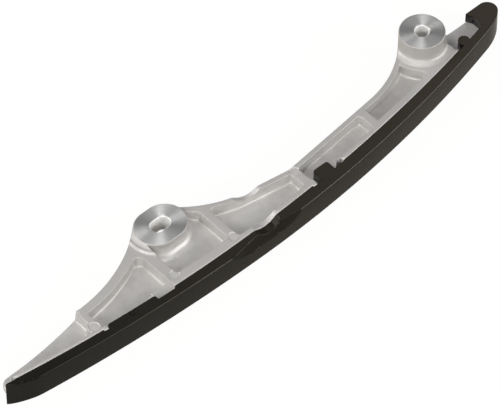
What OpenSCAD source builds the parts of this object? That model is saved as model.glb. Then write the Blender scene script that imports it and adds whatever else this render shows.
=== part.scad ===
// Fixed timing chain guide: a die-cast carrier with a moulded sliding shoe on its front edge.
// Millimetres. Z is the axis of the bolt hole and X runs along the bolt line towards the head.
// The origin is on the axis of the round bolt hole, in the plane of the two seats under the bosses.
// Heights are worked out from the plane the guide lies on, and both pieces are then lowered to the seats.
// The carrier is an I-section: one web at half height, with ribs and rims on both sides of it.

/* [Guide] */
// width of the guide across the chain, which is the height of shoe and rims
guide_w = 14; // [12:0.5:18]
// thickness of the web between the two sets of pockets
web_t = 3; // [2:0.25:4]
// clearance between the shoe and the carrier on every face
fit_gap = 0.1; // [0.05:0.05:0.3]

/* [Mounting] */
// distance from the round bolt hole to the middle of the slot
bolt_pitch = 163; // [158:0.5:170]
// diameter of the bolt hole, also the width of the slot
bolt_hole_d = 6.5; // [5:0.1:8.5]
// travel of the bolt along the slot
slot_run = 3.5; // [2:0.5:8]
// chamfer at the mouths of the bolt hole and the slot
hole_chamfer = 0.5; // [0.2:0.1:1.2]
// outside diameter of the round boss
boss_d = 22; // [19:0.5:25]
// outside width of the slotted boss
slot_boss_d = 21.2; // [18:0.2:24]
// length of the flat between the round ends of the slotted boss
boss_run = 5; // [3:0.5:8]
// height of the round boss above the rims
upper_boss_rise = 9; // [5:0.5:14]
// height of the slotted boss above the rims
lower_boss_rise = 2.3; // [1:0.1:5]
// depth of the machined seats, measured into the underside of the web
seat_cut = 1; // [0.4:0.1:1.4]
// free radius round each seat beyond the boss
seat_margin = 2; // [1:0.5:3]
// concave radius where the round boss meets the casting
upper_fillet = 2.3; // [1:0.1:3.5]
// concave radius where the slotted boss meets the web
lower_fillet = 5; // [2:0.5:5]
// width of the low shoulder on the tail side of the slotted boss
shoulder_w = 3.9; // [2:0.1:4.4]
// height of that shoulder above the rims
shoulder_rise = 0.8; // [0.3:0.1:1.2]

/* [Back edge] */
// distance from the slot to the step at the tail end of the rims
step_reach = 60; // [56:1:66]
// distance of that step below the bolt line
step_drop = 10.4; // [9:0.2:12]
// radius of the back edge from the step up to the slotted boss
tail_sweep_r = 77.5; // [70:0.5:90]
// distance from the bolt hole back to the waist of the carrier
waist_reach = 97; // [90:1:104]
// distance of the waist below the bolt line
waist_drop = 14.1; // [13:0.1:15]
// fall of the back edge from the slotted boss to the waist, in degrees
waist_fall = 9; // [7:0.5:11]
// rise of the back edge from the waist towards the bolt hole, in degrees
waist_rise = 5.9; // [4:0.1:8]
// radius of the back edge below the slotted boss
slot_sweep_r = 60; // [50:1:70]
// radius of the back edge below the round boss
head_sweep_r = 54; // [46:1:62]

/* [Front edge] */
// distance from the bolt line to the crown of the front edge
front_drop = 30.1; // [28.5:0.1:32]
// distance from the slot to the crown of the front edge
front_crown = 17; // [10:1:24]
// radius of the front edge
front_r = 791; // [760:1:840]
// distance by which the two locating tabs stand out of the front edge
tab_d = 0.9; // [0.4:0.1:1.2]
// length of the tabs at the end of the tail flange and beside the square clip
flange_tab_l = 2.6; // [1.5:0.1:4]
// height above the web of the short rim that carries the other tab
stub_rise = 3; // [1.5:0.1:4.5]

/* [Pockets and ribs] */
// width of the back rim beside the tail pocket
tail_rim = 4.6; // [3.5:0.1:5.5]
// width of the back rim beside the other pockets
back_rim = 2.7; // [2:0.1:3.5]
// width of the back rim at the head end of the second pocket
slot_back_rim = 4; // [2.5:0.1:5]
// width of the front rim beside the second pocket
slot_front_rim = 5; // [3:0.1:6]
// width of the front rim beside the third pocket
waist_front_rim = 2.6; // [2:0.1:4]
// width of the front rim beside the fourth pocket
clip_front_rim = 2.4; // [2:0.1:4]
// width of the front rim beside the fifth pocket
head_front_rim = 3.6; // [2:0.1:5]
// width of the wall at the tail end of the rims
step_wall = 3.4; // [2.5:0.1:7]
// length of that wall from the back edge
step_wall_run = 9.2; // [7:0.1:10.5]
// width of the rib on the tail side of the slotted boss
tail_rib = 5.5; // [4:0.1:7]
// distance from the slot to the middle of that rib
tail_rib_reach = 14.8; // [14:0.1:17]
// width of the three slimmer ribs
slim_rib = 4.2; // [3:0.1:5]
// distance from the slot to the middle of the rib on its head side
slot_rib_reach = 21; // [19:0.5:24]
// distance from the bolt hole to the middle of the waist rib
waist_rib_reach = 96; // [90:0.5:102]
// distance from the bolt hole to the middle of the head rib
head_rib_reach = 49.2; // [45:0.5:56]
// width of the solid land round the round boss
boss_land = 5.7; // [4:0.1:7]
// corner radius of the pockets
pocket_r = 1.8; // [0.8:0.1:2.4]
// corner radius at the top of the tail pocket
tail_pocket_r = 3.5; // [2:0.1:4.5]
// diameter of the ejector marks in the ribs
ejector_d = 5; // [3:0.1:6]
// depth of the ejector marks
ejector_cut = 0.5; // [0.2:0.1:1]

/* [Tail] */
// distance from the slot to the tip of the tail
tail_reach = 108.5; // [102:0.5:112]
// radius of the back edge of the tail
tail_back_r = 225; // [180:5:240]
// distance of the tail's back edge below the bolt line at its tip
tail_drop = 14.6; // [13.6:0.1:15.4]
// radius of the tip
tail_tip_r = 4.6; // [2:0.1:5]
// thickness of the flange behind the shoe along the tail
flange_t = 1.8; // [1.2:0.1:2.4]
// length of tail tip that is free of the flange
flange_free = 3.5; // [2:0.5:8]
// diameter of the post at the foot of the step
post_d = 6.2; // [4:0.1:7]
// height of the post above the web
post_rise = 1.3; // [1:0.1:4]
// distance of the post's axis from the tail side of the step
post_set = 2.5; // [2:0.1:3]

/* [Head] */
// distance from the bolt hole to the corner where the head land ends
land_reach = 12.8; // [11:0.2:14]
// distance from the bolt hole to the end of the head tongue
tongue_reach = 35; // [32:0.5:37]
// distance of the tongue's back edge below the bolt line
tongue_drop = 0.6; // [0:0.1:1.5]
// corner radius at the end of the tongue
tongue_r = 2.5; // [1:0.1:4]

/* [Groove and scoop] */
// width of the round groove across the rims
groove_w = 13; // [8:0.5:16]
// depth of the groove below the rims
groove_d = 2.3; // [1:0.1:3.5]
// distance from the slot to the groove
groove_reach = 40; // [36:0.5:44]
// slant of the groove from square across, in degrees
groove_slant = 14; // [0:1:20]
// width of the scoop in the upper front corner of the shoe
scoop_w = 45; // [30:1:55]
// depth of the scoop at the top of the shoe
scoop_d = 3; // [1:0.1:3.6]
// height over which the scoop runs out
scoop_h = 6; // [3:0.5:9]
// distance from the slot to the middle of the scoop
scoop_reach = 34; // [30:0.5:40]

/* [Shoe] */
// thickness of the shoe at the crown of the sliding face
shoe_t = 5.8; // [5:0.1:7.5]
// distance from the slot to the crown of the sliding face
face_crown = 30; // [24:1:36]
// radius of the sliding face towards the tail
tail_face_r = 945; // [900:5:1000]
// radius of the sliding face towards the head
head_face_r = 650; // [620:5:700]
// distance from the slot to where the tail starts to curl away
tail_curl_reach = 93; // [88:0.5:97]
// radius of that curl
tail_curl_r = 34; // [28:1:42]
// direction in which the tail of the shoe ends, in degrees
tail_curl_end = 38; // [30:1:42]
// distance from the bolt hole to where the head starts to curl away
head_curl_reach = 29; // [25:0.5:31]
// radius of that curl
head_curl_r = 30; // [26:1:34]
// direction in which the curl gives way to the round nose, in degrees
nose_start = 40; // [34:1:46]
// radius of the nose
nose_r = 5; // [4.5:0.1:5.5]

/* [Clips] */
// distance from the slot to the tail side of the long clip
long_clip_reach = 54.5; // [53:0.1:54.6]
// length of the long clip
long_clip_l = 26.9; // [20:0.1:28]
// depth of the long clip behind the front edge
long_clip_d = 1.5; // [1.3:0.1:2]
// corner radius of the long clip
long_clip_r = 1.2; // [0.4:0.1:1.3]
// distance from the bolt hole to the middle of the square clip
square_clip_reach = 85.4; // [84:0.2:87]
// length of the square clip
square_clip_l = 9; // [6:0.2:11]
// depth of the square clip behind the front edge
square_clip_d = 5.7; // [4:0.1:7]
// corner radius of the square clip
square_clip_r = 1.2; // [0.4:0.1:2]
// distance from the bolt hole to the tail side of the square clip's opening
opening_reach = 93; // [92:0.2:93.4]
// length of the square clip's opening
opening_l = 18; // [15:0.5:20]
// distance from the bolt hole to the round clip
round_clip_reach = 16.3; // [15.5:0.1:20]
// distance of the round clip's centre behind the front edge
round_clip_back = 1.5; // [0.5:0.1:2]
// diameter of the round clip
round_clip_d = 5.8; // [4:0.1:6]
// distance from the bolt hole to the head cap
cap_reach = 28; // [25:0.2:29]
// set-back of the cap's inner wall from its back corner
cap_set = 1.7; // [0.5:0.1:2.5]

/* [Hidden] */
$fn = 96;
// fineness of the long arcs
long_fn = 1440;
// number of steps in a rounded corner
corner_n = 6;
// number of steps along a sampled edge
edge_n = 12;
// number of steps along each half of the sliding face
face_n = 40;
// overlap that joins solids and clears cuts
lap = 1;
// reach of cuts that pass right through
far = 60;

mid_z = guide_w / 2;
web_lo = mid_z - web_t / 2;
web_hi = mid_z + web_t / 2;
seat_z = web_lo + seat_cut;
boss_r = boss_d / 2;
slot_boss_r = slot_boss_d / 2;
hole_r = bolt_hole_d / 2;
upper_top = guide_w + upper_boss_rise;
lower_top = guide_w + lower_boss_rise;

slot_x = -bolt_pitch;
step_x = slot_x - step_reach;
tip_x = slot_x - tail_reach;
waist = [-waist_reach, -waist_drop];
step = [step_x, -step_drop];
front_c = [slot_x + front_crown, front_r - front_drop];
face_x = slot_x + face_crown;
face_y = front_c[1] - sqrt(front_r * front_r - (face_x - front_c[0]) * (face_x - front_c[0])) - shoe_t;
tail_face_c = [face_x, face_y + tail_face_r];
head_face_c = [face_x, face_y + head_face_r];

slot_tail_c = [slot_x - boss_run / 2, 0];
slot_head_c = [slot_x + boss_run / 2, 0];
tail_sweep_c = sweep_centre(step, 0, tail_sweep_r, slot_tail_c, slot_boss_r, -1);
slot_sweep_c = sweep_centre(waist, -waist_fall, slot_sweep_r, slot_head_c, slot_boss_r, 1);
head_sweep_c = sweep_centre(waist, waist_rise, head_sweep_r, [0, 0], boss_r, -1);

tail_rib_x = slot_x - tail_rib_reach;
slot_rib_x = slot_x + slot_rib_reach;
waist_rib_x = -waist_rib_reach;
head_rib_x = -head_rib_reach;
tail_pocket_x = step_x + step_wall;
long_clip_x = slot_x - long_clip_reach;
tail_clip_start = long_clip_x - 2 * fit_gap;
tail_clip_end = long_clip_x + long_clip_l + 2 * fit_gap;
tail_pocket_end = tail_rib_x - tail_rib / 2;
wall_end = -step_drop - step_wall_run;
opening_x = -opening_reach;
land = [land_reach, front_at(land_reach, 0)];

groove_r = (groove_w * groove_w / 4 + groove_d * groove_d) / (2 * groove_d);
groove_x = slot_x + groove_reach;
scoop_x = slot_x + scoop_reach;
scoop_r = (scoop_w * scoop_w / 4 + scoop_d * scoop_d) / (2 * scoop_d);

tail_curl_a = asin((slot_x - tail_curl_reach - face_x) / tail_face_r);
tail_curl_c = tail_face_c + (tail_face_r - tail_curl_r) * [sin(tail_curl_a), -cos(tail_curl_a)];
head_curl_a = asin((head_curl_reach - face_x) / head_face_r);
head_curl_c = head_face_c + (head_face_r - head_curl_r) * [sin(head_curl_a), -cos(head_curl_a)];
nose_c = head_curl_c + (head_curl_r - nose_r) * [sin(nose_start), -cos(nose_start)];
cap_back = nose_c[1] + nose_r;

// centre of the arc of radius r that runs from a straight edge into a round boss
function sweep_centre(p, a, r, c, cr, side) =
    let (t = [cos(a), sin(a)], n = [-sin(a), cos(a)])
    let (u = (c - p) * t, v = (c - p) * n)
    p + (u + side * sqrt((r + cr) * (r + cr) - (r - v) * (r - v))) * t + r * n;

// lower side of a circle, at x
function under(c, r, x) = c[1] - sqrt(r * r - (x - c[0]) * (x - c[0]));

// front edge of the carrier, set back by inset, at x
function front_at(x, inset) = under(front_c, front_r - inset, x);

// height of a straight edge through p at angle a, at x
function edge_at(p, a, x) = p[1] + (x - p[0]) * tan(a);

// points along the front edge from x0 to x1
function front_run(x0, x1, inset) =
    [for (i = [0 : edge_n]) let (x = x0 + (x1 - x0) * i / edge_n) [x, front_at(x, inset)]];

// points along the lower side of a circle from x0 to x1
function under_run(c, r, x0, x1) =
    [for (i = [0 : edge_n]) let (x = x0 + (x1 - x0) * i / edge_n) [x, under(c, r, x)]];

function unit(v) = v / norm(v);

// arc that rounds the corner at b between a and c
function corner(a, b, c, r) =
    let (u = unit(a - b), v = unit(c - b))
    let (half = acos(max(-1, min(1, u * v))) / 2)
    let (o = b + unit(u + v) * r / sin(half))
    let (s = b + u * r / tan(half) - o, e = b + v * r / tan(half) - o)
    let (a0 = atan2(s[1], s[0]), turn = atan2(e[1], e[0]) - a0)
    let (sweep = turn > 180 ? turn - 360 : turn < -180 ? turn + 360 : turn)
    [for (i = [0 : corner_n]) let (w = a0 + sweep * i / corner_n) o + r * [cos(w), sin(w)]];

function flat(p) = [p[0], p[1]];

// outline whose points may carry a corner radius as third value
function rounded(p) =
    let (n = len(p))
    [for (i = [0 : n - 1])
        each (len(p[i]) == 3
            ? corner(flat(p[(i + n - 1) % n]), flat(p[i]), flat(p[(i + 1) % n]), p[i][2])
            : [p[i]])];

module obround(run, r) {
    translate([-run / 2, -r]) square([run, 2 * r]);
    for (s = [-1, 1]) translate([s * run / 2, 0]) circle(r);
}

module front_disc(inset) translate(front_c) circle(front_r - inset, $fn = long_fn);

// full-height outline of the carrier, from the step to the head land
module body_outline() {
    slot_foot = slot_sweep_c + slot_sweep_r * [sin(-waist_fall), -cos(waist_fall)];
    head_foot = head_sweep_c + head_sweep_r * [sin(waist_rise), -cos(waist_rise)];
    tail_touch = slot_tail_c + slot_boss_r * unit(tail_sweep_c - slot_tail_c);
    slot_touch = slot_head_c + slot_boss_r * unit(slot_sweep_c - slot_head_c);
    head_touch = boss_r * unit(head_sweep_c);
    intersection() {
        front_disc(0);
        difference() {
            polygon([
                step, tail_touch, slot_tail_c, slot_head_c, slot_touch, slot_foot, waist,
                head_foot, head_touch, [0, 0], land, [land[0], -far],
                [tail_pocket_x, -far], [tail_pocket_x, wall_end], [step_x, wall_end]
            ]);
            translate(tail_sweep_c) circle(tail_sweep_r, $fn = long_fn);
            translate(slot_sweep_c) circle(slot_sweep_r, $fn = long_fn);
            translate(head_sweep_c) circle(head_sweep_r, $fn = long_fn);
        }
    }
    translate([slot_x, 0]) obround(boss_run, slot_boss_r);
    circle(boss_r);
}

// web-level outline of the tail
module tail_outline() {
    tail_c = [tip_x + tail_tip_r, tail_back_r - tail_drop];
    back = under_run(tail_c, tail_back_r, step_x + lap, tip_x + 3 * tail_tip_r);
    tip_top = [tip_x, -tail_drop, tail_tip_r];
    intersection() {
        front_disc(0);
        polygon(rounded(concat(
            [[tail_pocket_x + lap, -far], [tail_pocket_x + lap, -step_drop - lap]],
            back, [tip_top], [[tip_x, -far]])));
    }
}

// web-level outline of the tongue that the head cap holds
module head_outline() {
    intersection() {
        front_disc(0);
        polygon(rounded([
            [0, 0], [boss_r - lap, -tongue_drop], [tongue_reach, -tongue_drop, tongue_r],
            [tongue_reach, -far], [0, -far]
        ]));
    }
}

// strip of the front edge from x0 to x1, from out beyond the edge to inset behind it
module front_strip(x0, x1, out, inset) {
    intersection() {
        difference() {
            front_disc(-out);
            front_disc(inset);
        }
        translate([x0, -far]) square([x1 - x0, far]);
    }
}

// tail flange with the tab at its end
module flange_outline() {
    front_strip(tip_x + flange_free, tail_clip_start, 0, flange_t);
    front_strip(tail_clip_start - flange_tab_l, tail_clip_start, tab_d, flange_t);
}

// short rim with a tab, between the long clip and the rib beside the slotted boss
module stub_outline() {
    front_strip(tail_clip_end, tail_pocket_end, tab_d, slot_front_rim);
    front_strip(tail_clip_end, tail_pocket_end + lap, 0, slot_front_rim);
}

// tab at the end of the front rim, beside the square clip
module opening_tab() {
    front_strip(opening_x - flange_tab_l, opening_x, tab_d, clip_front_rim);
}

// notches in the shoe that take the three tabs
module tab_notches() {
    out = tab_d + fit_gap;
    front_strip(opening_x - flange_tab_l - fit_gap, opening_x + fit_gap, out, 0);
    front_strip(tail_clip_start - flange_tab_l - fit_gap, tail_clip_start + fit_gap, out, 0);
    front_strip(tail_clip_end - fit_gap, tail_pocket_end + fit_gap, out, 0);
}

module tail_pocket() {
    x1 = tail_pocket_end;
    top = under_run(tail_sweep_c, tail_sweep_r + tail_rim, tail_pocket_x, x1);
    last = len(top) - 1;
    corner_a = [top[0][0], top[0][1], pocket_r];
    corner_b = [top[last][0], top[last][1], tail_pocket_r];
    crown = [for (i = [1 : last - 2]) top[i]];
    polygon(rounded(concat([[tail_pocket_x, -far], corner_a], crown, [corner_b, [x1, -far]])));
}

module slot_pocket() {
    x0 = tail_rib_x + tail_rib / 2;
    x1 = slot_rib_x - slim_rib / 2;
    low = front_run(x0, x1, slot_front_rim);
    inner = [for (i = [1 : edge_n - 1]) low[i]];
    side = [x1, under(slot_sweep_c, slot_sweep_r + slot_back_rim, x1), pocket_r];
    polygon(rounded(concat(
        [[x0, 0], [x0, low[0][1], pocket_r]], inner,
        [[x1, low[edge_n][1], pocket_r], side, [slot_head_c[0], slot_boss_r - lap]])));
}

module waist_pocket() {
    x0 = slot_rib_x + slim_rib / 2;
    x1 = waist_rib_x - slim_rib / 2;
    turn_x = slot_sweep_c[0] - slot_sweep_r * sin(waist_fall);
    low = front_run(x0, x1, waist_front_rim);
    inner = [for (i = [1 : edge_n - 1]) low[i]];
    top = under_run(slot_sweep_c, slot_sweep_r + back_rim, turn_x, x0);
    sweep_top = [for (i = [0 : edge_n - 1]) top[i]];
    end_y = edge_at(waist, -waist_fall, x1) - back_rim / cos(waist_fall);
    polygon(rounded(concat(
        [[x0, top[edge_n][1], pocket_r], [x0, low[0][1], pocket_r]], inner,
        [[x1, low[edge_n][1], pocket_r], [x1, end_y, pocket_r]], sweep_top)));
}

module clip_pocket() {
    x0 = waist_rib_x + slim_rib / 2;
    x1 = head_rib_x - slim_rib / 2;
    low = front_run(x0, x1, clip_front_rim);
    inner = [for (i = [1 : edge_n - 1]) low[i]];
    rim = back_rim / cos(waist_rise);
    polygon(rounded(concat(
        [[x0, edge_at(waist, waist_rise, x0) - rim, pocket_r], [x0, low[0][1], pocket_r]], inner,
        [[x1, low[edge_n][1], pocket_r], [x1, edge_at(waist, waist_rise, x1) - rim, pocket_r]])));
}

module head_pocket() {
    x0 = head_rib_x + slim_rib / 2;
    land_r = boss_r + boss_land;
    difference() {
        intersection() {
            front_disc(head_front_rim);
            translate([x0, -far]) square([-x0, 2 * far]);
        }
        polygon([
            head_sweep_c, head_sweep_c + [0, far], [-far - waist_reach, far],
            [-far - waist_reach, edge_at(waist, waist_rise, -far - waist_reach) - back_rim],
            head_sweep_c + (head_sweep_r + back_rim) * [sin(waist_rise), -cos(waist_rise)]
        ]);
        translate(head_sweep_c) circle(head_sweep_r + back_rim, $fn = long_fn);
        circle(land_r);
    }
}

module pocket_outlines() {
    opening_top = front_at(opening_x, clip_front_rim) + lap;
    tail_pocket();
    slot_pocket();
    waist_pocket();
    clip_pocket();
    head_pocket();
    translate([opening_x, -far]) square([opening_l, far + opening_top]);
}

// pockets on both faces of the web
module pockets() {
    translate([0, 0, web_hi]) linear_extrude(guide_w) pocket_outlines();
    translate([0, 0, -lap]) linear_extrude(web_lo + lap) pocket_outlines();
}

// concave ring of radius f at the foot of a round wall of radius r
module foot_ring(r, f) {
    rotate_extrude() foot_profile(r, f);
}

module foot_profile(r, f) {
    difference() {
        translate([r - lap, 0]) square([f + lap, f]);
        translate([r + f, f]) circle(f);
    }
}

module slot_foot() {
    translate([slot_x, 0, web_hi]) {
        for (s = [-1, 1]) {
            translate([s * boss_run / 2, 0, 0]) foot_ring(slot_boss_r, lower_fillet);
            translate([-boss_run / 2, 0, 0]) rotate([90, 0, 90]) linear_extrude(boss_run)
                scale([s, 1]) foot_profile(slot_boss_r, lower_fillet);
        }
    }
}

module bosses() {
    translate([0, 0, web_lo]) cylinder(upper_top - web_lo, r = boss_r);
    translate([slot_x, 0, web_lo]) linear_extrude(lower_top - web_lo) obround(boss_run, slot_boss_r);
    intersection() {
        union() {
            translate([0, 0, guide_w]) foot_ring(boss_r, upper_fillet);
            slot_foot();
        }
        linear_extrude(upper_top) body_outline();
    }
}

// low shoulder of the casting on the tail side of the slotted boss
module shoulder() {
    linear_extrude(guide_w + shoulder_rise) difference() {
        intersection() {
            body_outline();
            translate(slot_tail_c) circle(slot_boss_r + shoulder_w);
            translate([slot_tail_c[0] - far, -far]) square([far, 2 * far]);
        }
        pocket_outlines();
    }
}

// piece of solid that keeps its height on both sides of the web
module on_web(rise) {
    translate([0, 0, web_lo - rise]) linear_extrude(web_t + 2 * rise) children();
}

// round groove that crosses the rims and the top of the shoe
module groove() {
    translate([groove_x, -step_drop - step_wall_run, guide_w - groove_d + groove_r])
        rotate([0, 0, -groove_slant])
            rotate([90, 0, 0])
                cylinder(far, r = groove_r, center = true);
}

module ejector_marks() {
    marks = [
        [tail_rib_x + tail_rib / 4, front_at(tail_rib_x, slot_front_rim)],
        [slot_rib_x, front_at(slot_rib_x, slot_front_rim - slim_rib / 4)],
        [waist_rib_x, edge_at(waist, -waist_fall, waist_rib_x) - back_rim]
    ];
    for (m = marks)
        translate([m[0], m[1], guide_w - ejector_cut]) cylinder(far, d = ejector_d);
}

// chamfer at the mouth of a round hole
module mouth(top) {
    translate([0, 0, top - hole_chamfer])
        cylinder(hole_chamfer + lap, r1 = hole_r, r2 = hole_r + hole_chamfer + lap);
}

// chamfer at the mouth of the slot
module slot_mouth() {
    wide = hole_r + hole_chamfer + lap;
    for (s = [-1, 1]) translate([slot_x + s * slot_run / 2, 0, 0]) mouth(lower_top);
    translate([slot_x - slot_run / 2, 0, lower_top]) rotate([90, 0, 90]) linear_extrude(slot_run)
        polygon([[-hole_r, -hole_chamfer], [hole_r, -hole_chamfer], [wide, lap], [-wide, lap]]);
}

// bolt hole, slot and the seats under the bosses
module mounting_cuts() {
    translate([0, 0, -lap]) cylinder(upper_top + 2 * lap, r = hole_r);
    mouth(upper_top);
    slot_mouth();
    translate([0, 0, -lap]) cylinder(seat_z + lap, r = boss_r + seat_margin);
    translate([slot_x, 0, -lap]) {
        linear_extrude(lower_top + 2 * lap) obround(slot_run, hole_r);
        linear_extrude(seat_z + lap) obround(boss_run, slot_boss_r + seat_margin);
    }
}

module carrier() {
    color("silver") translate([0, 0, -seat_z])
    difference() {
        union() {
            difference() {
                linear_extrude(guide_w) body_outline();
                pockets();
            }
            on_web(0) {
                tail_outline();
                head_outline();
            }
            on_web(post_rise) translate([step_x + post_set, wall_end - post_d / 6]) circle(d = post_d);
            on_web(stub_rise) stub_outline();
            linear_extrude(guide_w) {
                flange_outline();
                opening_tab();
            }
            shoulder();
            bosses();
        }
        mounting_cuts();
        groove();
        ejector_marks();
    }
}

// points on a convex arc about c, as its tangent turns from direction a0 to a1
function face_run(c, r, a0, a1, n) =
    [for (i = [0 : n]) let (a = a0 + (a1 - a0) * i / n) c + r * [sin(a), -cos(a)]];

// outline of the shoe at full height: the bar along the front edge and the nose
module bar_outline() {
    difference() {
        polygon(concat(
            face_run(tail_curl_c, tail_curl_r, -tail_curl_end, tail_curl_a, edge_n),
            face_run(tail_face_c, tail_face_r, tail_curl_a, 0, face_n),
            face_run(head_face_c, head_face_r, 0, head_curl_a, face_n),
            face_run(head_curl_c, head_curl_r, head_curl_a, nose_start, edge_n),
            face_run(nose_c, nose_r, nose_start, 180, 2 * edge_n),
            [[tongue_reach + fit_gap, cap_back], [0, 0], tail_curl_c]));
        difference() {
            front_disc(-fit_gap);
            translate([tongue_reach + fit_gap, -far]) square(2 * far);
        }
        tab_notches();
    }
}

// plate of the head cap above or below the tongue
module cap_outline() {
    wall_x = cap_reach + cap_set;
    end_x = tongue_reach + fit_gap + lap;
    polygon([
        [cap_reach, cap_back], [end_x, cap_back], [end_x, front_at(end_x, -lap)],
        [wall_x, front_at(wall_x, -lap)], [wall_x, cap_back - 2 * cap_set]
    ]);
}

// clips that reach through the front rim, above or below the web
module clip_outlines() {
    long_x1 = long_clip_x + long_clip_l;
    long_back = front_run(long_clip_x, long_x1, long_clip_d);
    long_inner = [for (i = [1 : edge_n - 1]) long_back[i]];
    square_y = front_at(-square_clip_reach, square_clip_d);
    square_x0 = -square_clip_reach - square_clip_l / 2;
    square_x1 = square_x0 + square_clip_l;
    polygon(rounded(concat(
        [[long_clip_x, front_at(long_clip_x, -lap)], [long_clip_x, long_back[0][1], long_clip_r]],
        long_inner,
        [[long_x1, long_back[edge_n][1], long_clip_r], [long_x1, front_at(long_x1, -lap)]])));
    polygon(rounded([
        [square_x0, front_at(square_x0, -lap)], [square_x0, square_y, square_clip_r],
        [square_x1, square_y, square_clip_r], [square_x1, front_at(square_x1, -lap)]
    ]));
    translate([round_clip_reach, front_at(round_clip_reach, round_clip_back)]) circle(d = round_clip_d);
    cap_outline();
}

module guide_shoe() {
    color([0.11, 0.1, 0.09]) translate([0, 0, -seat_z])
    difference() {
        union() {
            linear_extrude(guide_w) bar_outline();
            linear_extrude(web_lo - fit_gap) clip_outlines();
            translate([0, 0, web_hi + fit_gap]) linear_extrude(web_lo - fit_gap) clip_outlines();
        }
        groove();
        translate([scoop_x, face_y + scoop_d - scoop_r, guide_w - scoop_h])
            cylinder(scoop_h + lap, r1 = scoop_r - scoop_d, r2 = scoop_r + scoop_d / scoop_h * lap);
    }
}

carrier();
guide_shoe();
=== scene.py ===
import math

import bmesh
import bpy
import numpy as np
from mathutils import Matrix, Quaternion, Vector
from mathutils.geometry import delaunay_2d_cdt


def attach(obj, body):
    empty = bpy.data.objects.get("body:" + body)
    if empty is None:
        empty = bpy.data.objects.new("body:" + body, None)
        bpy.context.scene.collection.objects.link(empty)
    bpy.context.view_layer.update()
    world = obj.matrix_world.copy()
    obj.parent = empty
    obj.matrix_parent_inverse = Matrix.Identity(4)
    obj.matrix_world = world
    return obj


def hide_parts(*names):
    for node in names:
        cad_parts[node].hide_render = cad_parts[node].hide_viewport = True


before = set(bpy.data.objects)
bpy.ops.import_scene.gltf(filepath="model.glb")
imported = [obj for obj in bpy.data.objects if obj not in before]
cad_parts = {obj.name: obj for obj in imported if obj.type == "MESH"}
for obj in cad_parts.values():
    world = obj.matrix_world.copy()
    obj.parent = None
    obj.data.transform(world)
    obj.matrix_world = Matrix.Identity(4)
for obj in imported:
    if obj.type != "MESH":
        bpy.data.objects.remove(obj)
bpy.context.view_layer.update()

# Lengths are in millimetres until a mesh is made. Plan points are (x, y) in the part's frame. Heights are
# counted from the plane that the guide lies on and lowered to the plane of the seats in the mesh.
MM = 0.001
SEAT_Z = 6.5
GUIDE_W = 14.0
MID_Z = 7.0
WEB_HI = 8.5
UPPER_TOP = 23.0
LOWER_TOP = 16.3

# Clearance between the pieces, a length past every outline, the overlap of joined outlines, and nearly nothing
GAP = 0.1
FAR = 60.0
LAP = 1.0
TINY = 1e-9

# Bolt hole, slot and bosses
HOLE_R = 3.25
SLOT_RUN = 3.5
HOLE_CHAMFER = 0.5
BOSS_R = 11.0
SLOT_BOSS_R = 10.6
BOSS_RUN = 5.0
SEAT_MARGIN = 2.0
SHOULDER_W = 3.9
SHOULDER_RISE = 0.8

# Edges of the carrier
SLOT_X = -163.0
STEP = np.array([SLOT_X - 60.0, -10.4])
TIP_X = SLOT_X - 108.5
WAIST = np.array([-97.0, -14.1])
WAIST_FALL = -9.0
WAIST_RISE = 5.9
FRONT_R = 791.0
FRONT_C = np.array([SLOT_X + 17.0, FRONT_R - 30.1])
TAIL_SWEEP_R = 77.5
SLOT_SWEEP_R = 60.0
HEAD_SWEEP_R = 54.0

# Pockets, ribs and rims
TAIL_RIM = 4.6
BACK_RIM = 2.7
SLOT_BACK_RIM = 4.0
SLOT_FRONT_RIM = 5.0
WAIST_FRONT_RIM = 2.6
CLIP_FRONT_RIM = 2.4
HEAD_FRONT_RIM = 3.6
SLIM_RIB = 4.2
POCKET_R = 1.8
TAIL_POCKET_R = 3.5
TAIL_RIB_X = SLOT_X - 14.8
TAIL_RIB = 5.5
SLOT_RIB_X = SLOT_X + 21.0
WAIST_RIB_X = -96.0
HEAD_RIB_X = -49.2
BOSS_LAND = 5.7
LAND_CORNER = 4.0
TAIL_POCKET_X = STEP[0] + 3.4
TAIL_POCKET_END = TAIL_RIB_X - TAIL_RIB / 2
WALL_END = STEP[1] - 9.2
OPENING = (-93.0, -75.0)

# Tail and head of the carrier
STEP_R = 1.0
TAIL_TIP_R = 4.6
TAIL_DROP = 14.6
TAIL_BACK_R = 225.0
FLANGE_T = 1.8
FLANGE_FREE = 3.5
LAND_X = 12.8
TONGUE_X = 35.0
TONGUE_Y = -0.6
TONGUE_R = 2.5

# Clips of the shoe, and what they meet on the carrier
LONG_CLIP_X = SLOT_X - 54.5
LONG_CLIP_L = 26.9
LONG_CLIP = (LONG_CLIP_X, LONG_CLIP_X + LONG_CLIP_L)
LONG_CLIP_D = 1.5
LONG_CLIP_R = 1.2
SQUARE_CLIP_X = -85.4
SQUARE_CLIP_W = 9.0
SQUARE_CLIP = (SQUARE_CLIP_X - SQUARE_CLIP_W / 2, SQUARE_CLIP_X + SQUARE_CLIP_W / 2)
SQUARE_CLIP_D = 5.7
SQUARE_CLIP_R = 1.2
ROUND_CLIP_X = 16.3
ROUND_CLIP_BACK = 1.5
ROUND_CLIP_R = 2.9
CAP_X = 28.0
CAP_SET = 1.7
CLIP_START = LONG_CLIP[0] - 2 * GAP
CLIP_END = LONG_CLIP[1] + 2 * GAP
TAB_D = 0.9
TAB_L = 2.6
TABS = (
    (CLIP_START - TAB_L, CLIP_START), (CLIP_END, TAIL_POCKET_END), (OPENING[0] - TAB_L, OPENING[0]))
STUB_TOP = WEB_HI + 3.0
PAD_R = 3.2
PAD_C = np.array([STEP[0] + 0.8, WALL_END - 2.8])

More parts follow.
